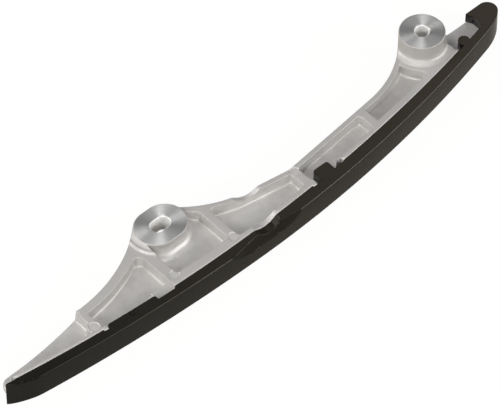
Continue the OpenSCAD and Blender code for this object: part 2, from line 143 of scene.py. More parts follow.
# Groove and scoop
GROOVE_C = np.array([SLOT_X + 40.0, WALL_END])
GROOVE_D = 2.3
GROOVE_W = 13.0
GROOVE_R = (GROOVE_W ** 2 / 4 + GROOVE_D ** 2) / (2 * GROOVE_D)
GROOVE_SLANT = -14.0
SCOOP_X = SLOT_X + 34.0
SCOOP_W = 45.0
SCOOP_D = 3.0
SCOOP_H = 6.0
SCOOP_R = (SCOOP_W ** 2 / 4 + SCOOP_D ** 2) / (2 * SCOOP_D)

# Sliding face of the shoe
SHOE_T = 5.8
FACE_X = SLOT_X + 30.0
TAIL_FACE_R = 945.0
HEAD_FACE_R = 650.0
TAIL_CURL_X = SLOT_X - 93.0
TAIL_CURL_R = 34.0
TAIL_CURL_END = math.radians(-38.0)
HEAD_CURL_X = 29.0
HEAD_CURL_R = 30.0
NOSE_START = math.radians(40.0)
NOSE_R = 5.0

# Steps along arcs, and rows of mesh lines across slopes
CORNER_STEPS = 8
RING_STEPS = 96
HOLE_STEPS = 72
EJECTOR_STEPS = 40
LAND_STEPS = 40
SHOULDER_STEPS = 160
SHOULDER_ROWS = 14
GROOVE_STEPS = 41
GROOVE_ROWS = 13
SCOOP_STEPS = 480
SCOOP_ROWS = 10
GATE_STEPS = 32
TAIL_CURL_STEPS = 24
FACE_STEPS = 60
HEAD_CURL_STEPS = 16
NOSE_STEPS = 32


# Plan geometry

def direction(degrees):
    a = math.radians(degrees)
    return np.array([math.cos(a), math.sin(a)])


def below(a):
    """Direction from the centre of an arc to the point where its lower side runs at angle a."""
    return np.array([math.sin(a), -math.cos(a)])


def under(c, r, x):
    """Height in plan of the lower side of a circle at x."""
    return c[1] - np.sqrt(r * r - (x - c[0]) ** 2)


def front_at(x, inset=0.0):
    """The carrier's front edge at x, or a line that runs inside it."""
    return under(FRONT_C, FRONT_R - inset, x)


def edge_at(p, degrees, x):
    """Height at x of the straight edge through p."""
    return p[1] + (x - p[0]) * math.tan(math.radians(degrees))


def sweep_centre(p, degrees, r, c, cr, side):
    """Centre of the arc of radius r that runs from a straight edge into a round boss."""
    t = direction(degrees)
    n = np.array([-t[1], t[0]])
    u, v = np.dot(c - p, t), np.dot(c - p, n)
    return p + (u + side * math.sqrt((r + cr) ** 2 - (r - v) ** 2)) * t + r * n


ORIGIN = np.zeros(2)
SLOT_C = np.array([SLOT_X, 0.0])
SLOT_TAIL = np.array([SLOT_X - BOSS_RUN / 2, 0.0])
SLOT_HEAD = np.array([SLOT_X + BOSS_RUN / 2, 0.0])
TAIL_SWEEP_C = sweep_centre(STEP, 0.0, TAIL_SWEEP_R, SLOT_TAIL, SLOT_BOSS_R, -1)
SLOT_SWEEP_C = sweep_centre(WAIST, WAIST_FALL, SLOT_SWEEP_R, SLOT_HEAD, SLOT_BOSS_R, 1)
HEAD_SWEEP_C = sweep_centre(WAIST, WAIST_RISE, HEAD_SWEEP_R, ORIGIN, BOSS_R, -1)
LAND = np.array([LAND_X, front_at(LAND_X)])

FACE_Y = float(front_at(FACE_X)) - SHOE_T
TAIL_FACE_C = np.array([FACE_X, FACE_Y + TAIL_FACE_R])
HEAD_FACE_C = np.array([FACE_X, FACE_Y + HEAD_FACE_R])
TAIL_CURL_A = math.asin((TAIL_CURL_X - FACE_X) / TAIL_FACE_R)
HEAD_CURL_A = math.asin((HEAD_CURL_X - FACE_X) / HEAD_FACE_R)
TAIL_CURL_C = TAIL_FACE_C + (TAIL_FACE_R - TAIL_CURL_R) * below(TAIL_CURL_A)
HEAD_CURL_C = HEAD_FACE_C + (HEAD_FACE_R - HEAD_CURL_R) * below(HEAD_CURL_A)
NOSE_C = HEAD_CURL_C + (HEAD_CURL_R - NOSE_R) * below(NOSE_START)
CAP_BACK = NOSE_C[1] + NOSE_R
SCOOP_C = np.array([SCOOP_X, FACE_Y + SCOOP_D - SCOOP_R])


def unit(v):
    return v / np.linalg.norm(v)


def corner(a, b, c, r, n=CORNER_STEPS):
    """Arc that rounds the corner at b between a and c."""
    u, v = unit(a - b), unit(c - b)
    half_angle = math.acos(max(-1.0, min(1.0, float(np.dot(u, v))))) / 2
    o = b + unit(u + v) * r / math.sin(half_angle)
    reach = r / math.tan(half_angle)
    s, e = b + u * reach - o, b + v * reach - o
    a0 = math.atan2(s[1], s[0])
    turn = (math.atan2(e[1], e[0]) - a0 + math.pi) % (2 * math.pi) - math.pi
    angles = [a0 + turn * k / n for k in range(n + 1)]
    return [o + r * np.array([math.cos(k), math.sin(k)]) for k in angles]


def rounded(points):
    """Outline whose points may carry a corner radius as third value."""
    out = []
    n = len(points)
    for i, p in enumerate(points):
        q = np.array(p[:2], float)
        if len(p) == 3:
            before = np.array(points[i - 1][:2], float)
            after = np.array(points[(i + 1) % n][:2], float)
            out += corner(before, q, after, p[2])
        else:
            out.append(q)
    return np.array(out)


def run(height, x0, x1, n=24):
    return [(x, float(height(x))) for x in np.linspace(x0, x1, n + 1)]


def circle(p, c, r):
    return np.hypot(p[..., 0] - c[0], p[..., 1] - c[1]) - r


def obround(p, c, length, r):
    dx = np.maximum(np.abs(p[..., 0] - c[0]) - length / 2, 0.0)
    return np.hypot(dx, p[..., 1] - c[1]) - r


def between(p, x0, x1):
    return np.maximum(x0 - p[..., 0], p[..., 0] - x1)


def smooth_min(a, b, k):
    h = np.clip(0.5 + 0.5 * (b - a) / k, 0.0, 1.0)
    return b * (1 - h) + a * h - k * h * (1 - h)


def smooth_step(t):
    t = np.clip(t, 0.0, 1.0)
    return t * t * (3 - 2 * t)


def front_disc(p, inset=0.0):
    return circle(p, FRONT_C, FRONT_R - inset)


# Reach of the search for the nearest segment, and how many points it takes at a time
REACH = 8.0
SLAB = 1500


def nearest(p, a, b):
    """Distance from each point to the nearest of the segments a-b, and the nearest point."""
    flat = p.reshape(-1, 2)
    dist = np.full(len(flat), FAR)
    foot = flat.copy()
    ab = b - a
    size = np.maximum((ab * ab).sum(-1), TINY ** 2)
    low, high = np.minimum(a[:, 0], b[:, 0]) - REACH, np.maximum(a[:, 0], b[:, 0]) + REACH
    order = flat[:, 0].argsort()
    for i in range(0, len(flat), SLAB):
        pick = order[i:i + SLAB]
        q = flat[pick]
        use = (high >= q[0, 0]) & (low <= q[-1, 0])
        if use.any():
            t = np.clip(((q[:, None] - a[use]) * ab[use]).sum(-1) / size[use], 0.0, 1.0)
            near = a[use] + t[..., None] * ab[use]
            d2 = ((q[:, None] - near) ** 2).sum(-1)
            k = d2.argmin(1)
            row = np.arange(len(k))
            dist[pick] = np.sqrt(d2[row, k])
            foot[pick] = near[row, k]
    return dist.reshape(p.shape[:-1]), foot.reshape(p.shape)


def polygon(p, loop):
    """Signed distance to a closed outline, negative inside."""
    loop = np.asarray(loop, float)
    a, b = loop, np.roll(loop, -1, axis=0)
    dist, _ = nearest(p, a, b)
    x, y = p[..., 0], p[..., 1]
    inside = np.zeros(p.shape[:-1], bool)
    for (ax, ay), (bx, by) in zip(a, b):
        if ay != by:
            crosses = (ay > y) != (by > y)
            inside ^= crosses & (x < ax + (y - ay) * (bx - ax) / (by - ay))
    return np.where(inside, -dist, dist)


# Contours of a field on a grid. The sides of a cell that a line joins, by which of its corners lie inside.
CELL_EDGES = {
    1: [(3, 0)], 2: [(0, 1)], 3: [(3, 1)], 4: [(1, 2)], 5: [(3, 0), (1, 2)], 6: [(0, 2)], 7: [(3, 2)],
    8: [(2, 3)], 9: [(0, 2)], 10: [(0, 1), (2, 3)], 11: [(1, 2)], 12: [(1, 3)], 13: [(0, 1)], 14: [(3, 0)],
}


def contour(xs, ys, values, level):
    """Polylines along which the field has that value. A closed one repeats its first point."""
    w = values - level
    w = np.where(np.abs(w) < TINY, TINY, w)
    neg = w < 0
    ny = w.shape[1]
    points = {}
    for i, j in np.argwhere(neg[:-1, :] != neg[1:, :]):
        t = w[i, j] / (w[i, j] - w[i + 1, j])
        points[2 * (i * ny + j)] = (xs[i] + t * (xs[i + 1] - xs[i]), ys[j])
    for i, j in np.argwhere(neg[:, :-1] != neg[:, 1:]):
        t = w[i, j] / (w[i, j] - w[i, j + 1])
        points[2 * (i * ny + j) + 1] = (xs[i], ys[j] + t * (ys[j + 1] - ys[j]))
    case = neg[:-1, :-1] + 2 * neg[1:, :-1] + 4 * neg[1:, 1:] + 8 * neg[:-1, 1:]
    links = {}
    for i, j in np.argwhere((case > 0) & (case < 15)):
        edges = (
            2 * (i * ny + j), 2 * ((i + 1) * ny + j) + 1, 2 * (i * ny + j + 1), 2 * (i * ny + j) + 1,
        )
        for a, b in CELL_EDGES[int(case[i, j])]:
            links.setdefault(edges[a], []).append(edges[b])
            links.setdefault(edges[b], []).append(edges[a])
    lines = []
    seen = set()
    starts = [k for k, v in links.items() if len(v) == 1] + list(links)
    for start in starts:
        if start in seen:
            continue
        line = [start]
        seen.add(start)
        while True:
            step = [k for k in links[line[-1]] if k not in seen]
            if not step:
                break
            line.append(step[0])
            seen.add(step[0])
        if len(line) > 2 and len(links[start]) == 2 and start in links[line[-1]]:
            line.append(start)
        if len(line) > 2:
            lines.append(np.array([points[k] for k in line]))
    return lines


def simplify(p, tolerance=0.004, longest=2.5):
    """The line with as few points as the tolerance allows, but no stretch over the longest."""
    keep = np.zeros(len(p), bool)
    keep[[0, -1]] = True
    stack = [(0, len(p) - 1)]
    while stack:
        a, b = stack.pop()
        if b - a < 2:
            continue
        seg = p[b] - p[a]
        q = p[a + 1:b] - p[a]
        size = np.hypot(*seg)
        if size < TINY:
            d = np.hypot(q[:, 0], q[:, 1])
        else:
            d = np.abs(seg[0] * q[:, 1] - seg[1] * q[:, 0]) / size
        k = int(d.argmax())
        if d[k] > tolerance:
            m = a + 1 + k
            keep[m] = True
            stack += [(a, m), (m, b)]
    r = p[keep]
    out = [r[:1]]
    for a, b in zip(r[:-1], r[1:]):
        n = max(1, math.ceil(np.hypot(*(b - a)) / longest))
        out.append(a + (b - a) * (np.arange(1, n + 1) / n)[:, None])
    return np.concatenate(out)


# Cell size of the grids, and the band about an outline in which their distances are exact
GRID = 0.3
BAND = 2.2
LEAST_SLOPE = 0.5


class Region:
    """A plan region given by an implicit function, with exact distances to its outline."""

    def __init__(self, inside, x0, y0, x1, y1):
        self.inside = inside
        self.xs, self.ys = np.arange(x0, x1, GRID), np.arange(y0, y1, GRID)
        mesh = np.stack(np.meshgrid(self.xs, self.ys, indexing="ij"), -1)
        rough = inside(mesh)
        self.loops = []
        for line in contour(self.xs, self.ys, rough, 0.0):
            for _ in range(2):
                line = line - self.slope(line) * inside(line)[:, None]
            self.loops.append(simplify(line))
        self.a = np.concatenate([k[:-1] for k in self.loops])
        self.b = np.concatenate([k[1:] for k in self.loops])
        near = np.abs(rough) < BAND
        self.grid = np.where(rough < 0, -1.0, 1.0) * np.maximum(np.abs(rough), BAND)
        dist, _ = nearest(mesh[near], self.a, self.b)
        self.grid[near] = np.where(rough[near] < 0, -dist, dist)

    def slope(self, p, h=1e-4):
        gx = self.inside(p + [h, 0.0]) - self.inside(p - [h, 0.0])
        gy = self.inside(p + [0.0, h]) - self.inside(p - [0.0, h])
        g = np.stack([gx, gy], -1) / (2 * h)
        return g / np.maximum((g * g).sum(-1, keepdims=True), LEAST_SLOPE ** 2)

    def distance(self, p):
        dist, _ = nearest(p, self.a, self.b)
        return np.where(self.inside(p) < 0, -dist, dist)

    def lines(self, level):
        if level == 0:
            return list(self.loops)
        out = []
        for line in contour(self.xs, self.ys, self.grid, level):
            dist, foot = nearest(line, self.a, self.b)
            line = foot + (line - foot) * (abs(level) / np.maximum(dist, TINY))[:, None]
            out.append(simplify(line))
        return out


def snap(values, levels, reach=0.008):
    """The values, with those next to a level set to it."""
    out = values.copy()
    for k in levels:
        out[np.abs(values - k) < reach] = k
    return out


# Profiles across walls and edges

ARC = [math.sin(math.radians(k)) for k in (0, 30, 60, 90)]

# The largest share of a wall's height that its edge rounding or its fillet takes
EDGE_SHARE = 0.6
FILLET_SHARE = 0.85


def arc_levels(r):
    """Distances from a wall at which a rounding of radius r gets a mesh line."""
    return [r * (1 - k) for k in ARC]


def quarter(d, r):
    """Drop below the top of a rounded edge of radius r, at distance d from its wall."""
    k = np.clip(d, 0.0, r)
    return r - np.sqrt(np.maximum(r * r - (r - k) ** 2, 0.0))


def wall(d, top, floor, r_top, r_floor, draft):
    """Height across a drafted wall with a rounded edge above and a fillet below. d is positive above."""
    high = top - quarter(d, r_top)
    low = floor + quarter(-draft - d, r_floor)
    slope = np.clip(-d / draft, 0.0, 1.0)
    on_wall = (top - r_top) + (floor + r_floor - top + r_top) * slope
    return np.where(d >= 0, high, np.where(d >= -draft, on_wall, low))


def wall_levels(r_top, r_floor, draft):
    return sorted(set(arc_levels(r_top) + [-draft - k for k in arc_levels(r_floor)]))


def rim_edge(top, s, base, r, draft):
    """Height at distance s inside the outer edge: a drafted wall up from base, then a rounded edge."""
    r = np.minimum(r, EDGE_SHARE * (top - base))
    rounding = top - quarter(s - draft, r)
    rise = base + (top - r - base) * np.clip(s / draft, 0.0, 1.0)
    return np.where(s >= draft, rounding, rise)


def ring(c, r, length=0.0, n=RING_STEPS):
    a = np.linspace(0, 2 * math.pi, n + 1)
    p = np.stack([c[0] + r * np.cos(a), c[1] + r * np.sin(a)], -1)
    p[:, 0] += np.where(np.cos(a) >= 0, length / 2, -length / 2)
    return p


GROOVE_SIDE = direction(GROOVE_SLANT)


def groove_height(p):
    u = np.abs((p - GROOVE_C) @ GROOVE_SIDE)
    cut = GUIDE_W - GROOVE_D + GROOVE_R - np.sqrt(np.maximum(GROOVE_R ** 2 - u ** 2, 0.0))
    return np.where(u < GROOVE_W, cut, FAR)


def groove_lines():
    along = np.array([-GROOVE_SIDE[1], GROOVE_SIDE[0]])
    t = np.linspace(-FAR / 2, FAR / 2, GROOVE_STEPS)[:, None]
    across = np.linspace(-GROOVE_W / 2, GROOVE_W / 2, GROOVE_ROWS)
    return [GROOVE_C + k * GROOVE_SIDE + t * along for k in across]


# Meshes made in plan and lifted to their heights

# Points of the plan closer than this are one point, and so are corners of the mesh, in metres
MERGE = 1e-5
WELD = 1e-7


def keep_inside(lines, region, margin):
    """The stretches of the lines that lie deeper than margin in the region."""
    out = []
    for line in lines:
        ok = region.distance(line) < -margin
        start = None
        for i, k in enumerate(list(ok) + [False]):
            if k and start is None:
                start = i
            if not k and start is not None:
                if i - start > 1:
                    out.append(line[start:i])
                start = None
    return out


def triangulate(lines):
    points, edges = [], []
    for line in lines:
        n = len(points)
        points += [Vector((float(x), float(y))) for x, y in line]
        edges += [(n + i, n + i + 1) for i in range(len(line) - 1)]
    verts, _, faces, _, _, _ = delaunay_2d_cdt(points, edges, [], 0, MERGE)
    corners = [(f[0], f[i], f[i + 1]) for f in faces for i in range(1, len(f) - 1)]
    return np.array([tuple(v) for v in verts]), np.array(corners, int)


def half(height, region, inner, draft, holes, flip):
    """One drafted half of a piece, above or below its parting plane."""
    lines = region.loops + [k for hole in holes for k in hole[1]] + keep_inside(inner, region, draft / 2)
    verts, faces = triangulate(lines)
    mid = verts[faces].mean(1)
    keep = region.inside(mid) < 0
    for inside, _ in holes:
        keep &= inside(mid) > 0
    faces = faces[keep]
    return verts, height(verts), faces[:, ::-1] if flip else faces


def make_object(name, parts):
    """One closed mesh from parts that meet edge to edge."""
    bm = bmesh.new()
    for verts, heights, faces in parts:
        made = [
            bm.verts.new((x * MM, y * MM, (z - SEAT_Z) * MM))
            for (x, y), z in zip(verts.tolist(), heights.tolist())]
        for f in faces.tolist():
            bm.faces.new([made[k] for k in f])
    bmesh.ops.remove_doubles(bm, verts=bm.verts, dist=WELD)
    loose = [v for v in bm.verts if not v.link_faces]
    bmesh.ops.delete(bm, geom=loose, context="VERTS")
    mesh = bpy.data.meshes.new(name)
    bm.to_mesh(mesh)
    bm.free()
    mesh.polygons.foreach_set("use_smooth", [True] * len(mesh.polygons))
    obj = bpy.data.objects.new(name, mesh)
    bpy.context.scene.collection.objects.link(obj)
    weighted = obj.modifiers.new("flat faces stay flat", "WEIGHTED_NORMAL")
    weighted.keep_sharp = True
    return obj


# Carrier in plan

def front_strip(p, x0, x1, out, inset):
    return np.maximum(between(p, x0, x1), np.maximum(front_disc(p, -out), -front_disc(p, inset)))


def body_inside(p):
    slot_foot = SLOT_SWEEP_C + SLOT_SWEEP_R * direction(WAIST_FALL - 90)
    head_foot = HEAD_SWEEP_C + HEAD_SWEEP_R * direction(WAIST_RISE - 90)
    tail_touch = SLOT_TAIL + SLOT_BOSS_R * unit(TAIL_SWEEP_C - SLOT_TAIL)
    wall_foot = np.array([STEP[0], WALL_END])
    outline = corner(wall_foot, STEP, tail_touch, STEP_R) + [
        tail_touch, SLOT_TAIL, SLOT_HEAD,
        SLOT_HEAD + SLOT_BOSS_R * unit(SLOT_SWEEP_C - SLOT_HEAD), slot_foot, WAIST, head_foot,
        BOSS_R * unit(HEAD_SWEEP_C), ORIGIN, LAND, (LAND_X, -FAR), (TAIL_POCKET_X, -FAR),
        (TAIL_POCKET_X, WALL_END), wall_foot,
    ]
    d = np.maximum(polygon(p, outline), front_disc(p))
    for c, r in ((TAIL_SWEEP_C, TAIL_SWEEP_R), (SLOT_SWEEP_C, SLOT_SWEEP_R), (HEAD_SWEEP_C, HEAD_SWEEP_R)):
        d = np.maximum(d, -circle(p, c, r))
    d = np.minimum(d, obround(p, SLOT_C, BOSS_RUN, SLOT_BOSS_R))
    return np.minimum(d, circle(p, ORIGIN, BOSS_R))


def tail_inside(p):
    c = np.array([TIP_X + TAIL_TIP_R, TAIL_BACK_R - TAIL_DROP])
    back = run(lambda x: under(c, TAIL_BACK_R, x), STEP[0] + LAP, TIP_X + 3 * TAIL_TIP_R)
    start = [(TAIL_POCKET_X + LAP, -FAR), (TAIL_POCKET_X + LAP, STEP[1] - LAP)]
    outline = rounded(start + back + [(TIP_X, -TAIL_DROP, TAIL_TIP_R), (TIP_X, -FAR)])
    return np.maximum(polygon(p, outline), front_disc(p))


def tongue_inside(p):
    outline = rounded([
        (0, 0), (BOSS_R - LAP, TONGUE_Y), (TONGUE_X, TONGUE_Y, TONGUE_R), (TONGUE_X, -FAR), (0, -FAR)])
    return np.maximum(polygon(p, outline), front_disc(p))


def carrier_inside(p):
    d = np.minimum(body_inside(p), np.minimum(tail_inside(p), tongue_inside(p)))
    for x0, x1 in TABS:
        d = np.minimum(d, front_strip(p, x0, x1, TAB_D, LAP))
    return d


def pocket_loops():
    """Outlines of the pockets and the opening. Points next to a rounded corner are left out."""
    x1 = TAIL_POCKET_END
    top = run(lambda x: under(TAIL_SWEEP_C, TAIL_SWEEP_R + TAIL_RIM, x), TAIL_POCKET_X, x1)
    tail = [(TAIL_POCKET_X, -FAR), top[0] + (POCKET_R,)] + top[1:-5] + [
        top[-1] + (TAIL_POCKET_R,), (x1, -FAR)]

    x0, x1 = TAIL_RIB_X + TAIL_RIB / 2, SLOT_RIB_X - SLIM_RIB / 2
    low = run(lambda x: front_at(x, SLOT_FRONT_RIM), x0, x1)
    side = (x1, float(under(SLOT_SWEEP_C, SLOT_SWEEP_R + SLOT_BACK_RIM, x1)), POCKET_R)
    slot = [(x0, 0), low[0] + (POCKET_R,)] + low[1:-1] + [
        low[-1] + (POCKET_R,), side, (SLOT_HEAD[0], SLOT_BOSS_R - LAP)]

    x0, x1 = SLOT_RIB_X + SLIM_RIB / 2, WAIST_RIB_X - SLIM_RIB / 2
    turn_x = SLOT_SWEEP_C[0] + SLOT_SWEEP_R * math.sin(math.radians(WAIST_FALL))
    low = run(lambda x: front_at(x, WAIST_FRONT_RIM), x0, x1)
    top = run(lambda x: under(SLOT_SWEEP_C, SLOT_SWEEP_R + BACK_RIM, x), turn_x, x0)
    end_y = edge_at(WAIST, WAIST_FALL, x1) - BACK_RIM / math.cos(math.radians(WAIST_FALL))
    waist = [top[-1] + (POCKET_R,), low[0] + (POCKET_R,)] + low[1:-1] + [
        low[-1] + (POCKET_R,), (x1, end_y, POCKET_R)] + top[:-1]

    x0, x1 = WAIST_RIB_X + SLIM_RIB / 2, HEAD_RIB_X - SLIM_RIB / 2
    low = run(lambda x: front_at(x, CLIP_FRONT_RIM), x0, x1)
    rim = BACK_RIM / math.cos(math.radians(WAIST_RISE))
    clip = [(x0, edge_at(WAIST, WAIST_RISE, x0) - rim, POCKET_R), low[0] + (POCKET_R,)] + low[1:-1] + [
        low[-1] + (POCKET_R,), (x1, edge_at(WAIST, WAIST_RISE, x1) - rim, POCKET_R)]

    x0, x1 = OPENING
    open_top = float(front_at(x0, CLIP_FRONT_RIM)) + LAP
    opening = [(x0, -FAR), (x1, -FAR), (x1, open_top), (x0, open_top)]
    return [rounded(k) for k in (tail, slot, waist, clip, opening)]


POCKET_LOOPS = pocket_loops()


def head_pocket(p):
    r = HEAD_SWEEP_R + BACK_RIM
    left = -FAR + WAIST[0]
    above = [
        HEAD_SWEEP_C, HEAD_SWEEP_C + [0, FAR], (left, FAR),
        (left, edge_at(WAIST, WAIST_RISE, left) - BACK_RIM), HEAD_SWEEP_C + r * direction(WAIST_RISE - 90)]
    land = circle(p, ORIGIN, BOSS_R + BOSS_LAND)
    d = -smooth_min(-front_disc(p, HEAD_FRONT_RIM), land, LAND_CORNER)
    d = np.maximum(d, between(p, HEAD_RIB_X + SLIM_RIB / 2, 0.0))
    d = np.maximum(d, -polygon(p, above))
    return np.maximum(d, -circle(p, HEAD_SWEEP_C, r))


def pockets_inside(p):
    d = head_pocket(p)
    for loop in POCKET_LOOPS:
        d = np.minimum(d, polygon(p, loop))
    return d


def rims_inside(p):
    """Full-height parts of the carrier, running on past its outer edge."""
    outline = [
        (STEP[0], FAR), (0, FAR), (0, 0), LAND, (LAND_X, -FAR), (TAIL_POCKET_X, -FAR),
        (TAIL_POCKET_X, WALL_END), (STEP[0], WALL_END)]
    body = np.maximum(polygon(p, outline), -pockets_inside(p))
    flange = np.maximum(-front_disc(p, FLANGE_T), between(p, TIP_X + FLANGE_FREE, CLIP_START))
    return np.minimum(np.minimum(body, flange), circle(p, PAD_C, PAD_R))


def stub_inside(p):
    """Short rim between the long clip and the rib, running on past the outer edge and into the rib."""
    return np.maximum(-front_disc(p, SLOT_FRONT_RIM), between(p, CLIP_END, TAIL_POCKET_END + LAP))


def round_hole(p):
    return circle(p, ORIGIN, HOLE_R)


def slot_hole(p):
    return obround(p, SLOT_C, SLOT_RUN, HOLE_R)


# Carrier in height

EDGE_R = 0.5
EDGE_DRAFT = 0.1
RIM_R = 0.3
FLOOR_R = 1.0
RIM_DRAFT = 0.22
LAND_EDGE = 3.4
LAND_FOOT = 2.0
LOW_R = 0.3
HOLE_DRAFT = 0.02
UPPER_FILLET = 3.6
TONGUE_FILLET = 7.0
LOWER_FILLET = 5.0
SHOULDER_FILLET = 1.7
BOSS_EDGE = 0.35
BOSS_DRAFT = 0.12
SHOULDER_SLOPE = 0.9
SHOULDER_LEAN = 1.0
SHOULDER_LUMP = 0.35
LUMP_MEAN = 0.6
LUMP_WAVES = (13, 7)
EJECTOR_R = 2.5
EJECTOR_D = 0.4
EJECTOR_SLOPE = 0.15
SEAT_EDGE = 0.1
UNDER_CHAMFER = 0.6
EJECTORS = [
    (TAIL_RIB_X + TAIL_RIB / 4, float(front_at(TAIL_RIB_X, SLOT_FRONT_RIM))),
    (SLOT_RIB_X, float(front_at(SLOT_RIB_X, SLOT_FRONT_RIM - SLIM_RIB / 4))),
    (WAIST_RIB_X, edge_at(WAIST, WAIST_FALL, WAIST_RIB_X) - BACK_RIM),
    tuple(PAD_C),
]
EDGE_LEVELS = sorted(set([0.0] + [-EDGE_DRAFT - k for k in arc_levels(EDGE_R)]))
RIM_LEVELS = sorted(-k for k in wall_levels(RIM_R, FLOOR_R, RIM_DRAFT))
LOW_LEVELS = sorted(-k for k in wall_levels(LOW_R, FLOOR_R, RIM_DRAFT))

CARRIER_BOX = (-275.0, -40.0, 40.0, 14.0)
STUB_BOX = (-195.0, -40.0, -175.0, -15.0)

domain = Region(carrier_inside, *CARRIER_BOX)
rims = Region(rims_inside, *CARRIER_BOX)
stub = Region(stub_inside, *STUB_BOX)


def shoulder(p):
    """Height above the rims of the cast shoulder on the tail side of the slotted boss."""
    out = circle(p, SLOT_TAIL, SLOT_BOSS_R)
    depth = SHOULDER_W - out
    turn = np.arctan2(p[..., 1], SLOT_TAIL[0] - p[..., 0])
    ridge = np.exp(-((depth - SHOULDER_SLOPE) / SHOULDER_SLOPE) ** 2)
    short, long = LUMP_WAVES
    lump = ridge * (LUMP_MEAN + (1 - LUMP_MEAN) * np.sin(short * turn + 1.0) * np.sin(long * turn))
    lean = SHOULDER_LEAN * np.clip(1 - out / (SHOULDER_W - SHOULDER_SLOPE), 0.0, 1.0) ** 2
    rise = (SHOULDER_RISE + SHOULDER_LUMP * lump) * smooth_step(depth / SHOULDER_SLOPE) + lean
    return np.where((p[..., 0] < SLOT_TAIL[0]) & (depth > 0), rise, 0.0)


def web_and_rims(p, rim_top):
    """Height of the casting before the bosses, the same on both sides of the web but for the shoulder."""
    at_land = p[..., 0] > LAND_X - LAND_EDGE
    r_top, r_floor = np.where(at_land, LAND_EDGE, RIM_R), np.where(at_land, LAND_FOOT, FLOOR_R)
    top = wall(-snap(rims.distance(p), RIM_LEVELS), rim_top, WEB_HI, r_top, r_floor, RIM_DRAFT)
    short_rim = wall(-snap(stub.distance(p), LOW_LEVELS), STUB_TOP, WEB_HI, LOW_R, FLOOR_R, RIM_DRAFT)
    return np.maximum(top, short_rim)


def upper_carrier(p):
    top = web_and_rims(p, GUIDE_W + shoulder(p))
    lower_ground = smooth_step((GUIDE_W - top) / (GUIDE_W - WEB_HI))
    fillet = UPPER_FILLET + (TONGUE_FILLET - UPPER_FILLET) * lower_ground
    top = wall(-circle(p, ORIGIN, BOSS_R), UPPER_TOP, top, BOSS_EDGE, fillet, BOSS_DRAFT)
    near = p[..., 0] < SLOT_RIB_X + SLIM_RIB
    room = LOWER_TOP - BOSS_EDGE - np.minimum(top, LOWER_TOP - 2 * BOSS_EDGE)
    fillet = np.minimum(LOWER_FILLET, FILLET_SHARE * room)
    boss = wall(-obround(p, SLOT_C, BOSS_RUN, SLOT_BOSS_R), LOWER_TOP, top, BOSS_EDGE, fillet, BOSS_DRAFT)
    top = np.where(near, boss, top)
    for c in EJECTORS:
        e = circle(p, c, EJECTOR_R)
        mark = GUIDE_W - EJECTOR_D * np.clip(1 - e / EJECTOR_SLOPE, 0.0, 1.0)
        top = np.where(e < EJECTOR_SLOPE, np.minimum(top, mark), top)
    top = np.minimum(top, groove_height(p))
    s = -snap(domain.distance(p), EDGE_LEVELS)
    z = rim_edge(top, s, MID_Z, EDGE_R, EDGE_DRAFT)
    return bored(p, z, top, HOLE_CHAMFER)


def lower_carrier(p):
    top = web_and_rims(p, GUIDE_W)
    floor = GUIDE_W - SEAT_Z
    for recess in (
        circle(p, ORIGIN, BOSS_R + SEAT_MARGIN), obround(p, SLOT_C, BOSS_RUN, SLOT_BOSS_R + SEAT_MARGIN),
    ):
        around = np.maximum(top, floor + 2 * SEAT_EDGE)
        cut = wall(recess, around, floor, SEAT_EDGE, SEAT_EDGE, SEAT_EDGE / 2)
        top = np.where(recess < SEAT_EDGE, np.minimum(top, cut), top)
    s = -snap(domain.distance(p), EDGE_LEVELS)
    z = rim_edge(top, s, MID_Z, EDGE_R, EDGE_DRAFT)
    return GUIDE_W - bored(p, z, top, UNDER_CHAMFER)


def bored(p, z, top, chamfer):
    """Heights with both holes and the chamfers at their mouths."""
    hole = np.minimum(round_hole(p), slot_hole(p))
    z = np.where(hole < chamfer, top - chamfer + np.clip(hole, 0.0, chamfer), z)
    return np.where(hole < -HOLE_DRAFT / 2, MID_Z, z)


def hole_rings(k):
    return [ring(ORIGIN, HOLE_R + k, 0.0, HOLE_STEPS), ring(SLOT_C, HOLE_R + k, SLOT_RUN, HOLE_STEPS)]


def carrier_lines():
    """Mesh lines along every change of slope, for the upper and the lower half."""
    shared = [line for k in EDGE_LEVELS if k for line in domain.lines(k)]
    for k in RIM_LEVELS:
        shared += rims.lines(k)
    for k in LOW_LEVELS:
        shared += stub.lines(k)
    land_ys = np.linspace(-BOSS_R - BOSS_LAND, BOSS_R, LAND_STEPS)
    for k in wall_levels(LAND_EDGE, LAND_FOOT, RIM_DRAFT):
        shared.append(np.array([(LAND_X - k, y) for y in land_ys]))
    upper, lower = list(shared), list(shared)
    for fillet in (UPPER_FILLET, TONGUE_FILLET):
        for k in wall_levels(BOSS_EDGE, fillet, BOSS_DRAFT):
            upper.append(ring(ORIGIN, BOSS_R - k))
    for fillet in (LOWER_FILLET, SHOULDER_FILLET):
        for k in wall_levels(BOSS_EDGE, fillet, BOSS_DRAFT):
            upper.append(ring(SLOT_C, SLOT_BOSS_R - k, BOSS_RUN))
    for k in np.linspace(0.0, SHOULDER_W, SHOULDER_ROWS):
        turn = ring(SLOT_TAIL, SLOT_BOSS_R + k, 0.0, SHOULDER_STEPS)
        upper.append(turn[turn[:, 0] < SLOT_TAIL[0]])
    for c in EJECTORS:
        upper += [ring(c, EJECTOR_R + k * EJECTOR_SLOPE, 0.0, EJECTOR_STEPS) for k in (-1, 0, 1, 2)]
    upper += groove_lines()
    for k in (0.0, HOLE_CHAMFER):
        upper += hole_rings(k)
    for k in (-1.5 * SEAT_EDGE, -SEAT_EDGE / 2, 0.0, SEAT_EDGE):
        lower.append(ring(ORIGIN, BOSS_R + SEAT_MARGIN + k))
        lower.append(ring(SLOT_C, SLOT_BOSS_R + SEAT_MARGIN + k, BOSS_RUN))
    for k in (0.0, UNDER_CHAMFER):
        lower += hole_rings(k)
    return upper, lower


